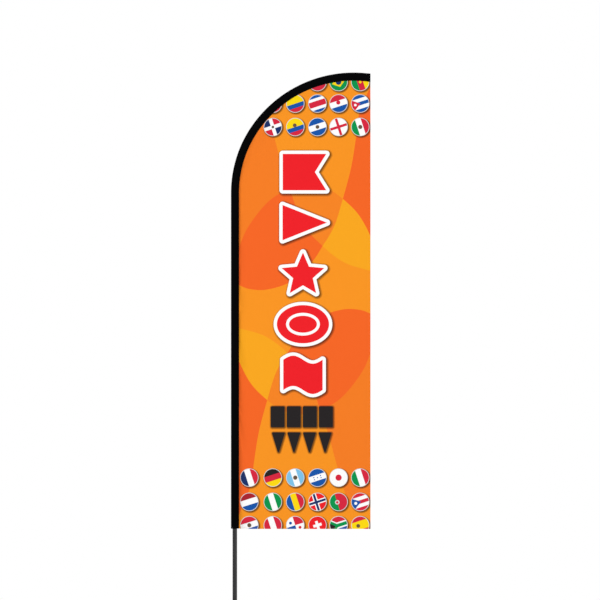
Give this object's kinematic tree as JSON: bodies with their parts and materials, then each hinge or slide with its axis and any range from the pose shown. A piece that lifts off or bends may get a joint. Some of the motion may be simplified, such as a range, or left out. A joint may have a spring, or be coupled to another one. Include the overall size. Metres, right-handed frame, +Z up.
{
  "type": "feather flag with pole",
  "caption": "Tall feather flag: a printed panel with a black sleeve on a jointed pole that bends at the top, turning on a ball-bearing spindle over a ground spike.",
  "frame": {"origin": "on the pole's axis at ground level, at the underside of the foot bar", "axes": "+Z up along the pole; the flag flies towards +X; its printed front faces -Y"},
  "size_m": [0.76, 0.18, 3.7458],
  "materials": {
    "spike_steel": "satin black powder coat, worn at the point",
    "weld": "painted weld bead",
    "zinc_steel": "bright zinc plating",
    "bearing_steel": "ground bearing steel",
    "brass_cage": "pressed cage",
    "spindle_steel": "turned steel",
    "pole_black": "satin charcoal",
    "ferrule_metal": "black anodised",
    "spring_steel": "spring leaf",
    "rod_fibre": "pultruded glass fibre in resin",
    "black_rubber": "moulded",
    "black_plastic": "moulded",
    "sleeve_fabric": "black woven polyester",
    "panel_fabric": "printed knitted polyester, orange ground"
  },
  "bodies": {
    "spike": {"spike_rod": "spike_steel", "foot_bar": "spike_steel", "foot_weld": "weld", "axle_pin": "zinc_steel", "inner_races": "bearing_steel", "bearing_spacer": "zinc_steel", "axle_washer": "zinc_steel", "lock_nut": "zinc_steel"},
    "ball_sets": {"bearing_balls": "bearing_steel", "ball_cages": "brass_cage"},
    "spindle": {"spindle_tube": "spindle_steel", "outer_races": "bearing_steel", "retaining_rings": "spring_steel", "rest_collar": "spindle_steel", "grip_rings": "black_rubber", "spindle_cap": "black_plastic"},
    "pole": {"base_section": "pole_black", "base_end_ring": "ferrule_metal", "base_ferrule": "ferrule_metal", "mid_section": "pole_black", "depth_collar": "black_plastic", "mid_ferrule": "ferrule_metal", "button_spring": "spring_steel"},
    "snap_button": {"snap_button": "zinc_steel"},
    "flag_top": {"tip_adapter": "black_plastic", "tip_rod": "rod_fibre", "tip_cap": "black_rubber", "pole_sleeve": "sleeve_fabric", "mouth_hem": "sleeve_fabric", "end_patch": "sleeve_fabric", "flag_panel": "panel_fabric"}
  },
  "joints": [
    {"name": "spindle_spin", "type": "hinge", "parent": "spike", "child": "spindle", "pos_m": [0, 0, 0.0775], "axis": [0, 0, 1], "continuous": true},
    {"name": "ball_roll", "type": "hinge", "parent": "spike", "child": "ball_sets", "pos_m": [0, 0, 0.0775], "axis": [0, 0, 1], "continuous": true},
    {"name": "pole_lift", "type": "slide", "parent": "spindle", "child": "pole", "axis": [0, 0, 1], "range_m": [0, 0.16]},
    {"name": "button_press", "type": "slide", "parent": "pole", "child": "snap_button", "axis": [1, 0, 0], "range_m": [0, 0.0035], "stiffness_N_per_m": 1200, "springref_m": -0.002, "deforming": ["button_spring"]},
    {"name": "tip_pull", "type": "slide", "parent": "pole", "child": "flag_top", "axis": [0, 0, 1], "range_m": [0, 0.12]}
  ],
  "couplings": [
    {"joint": "ball_roll", "follows": "spindle_spin", "ratio": 0.5958}
  ]
}
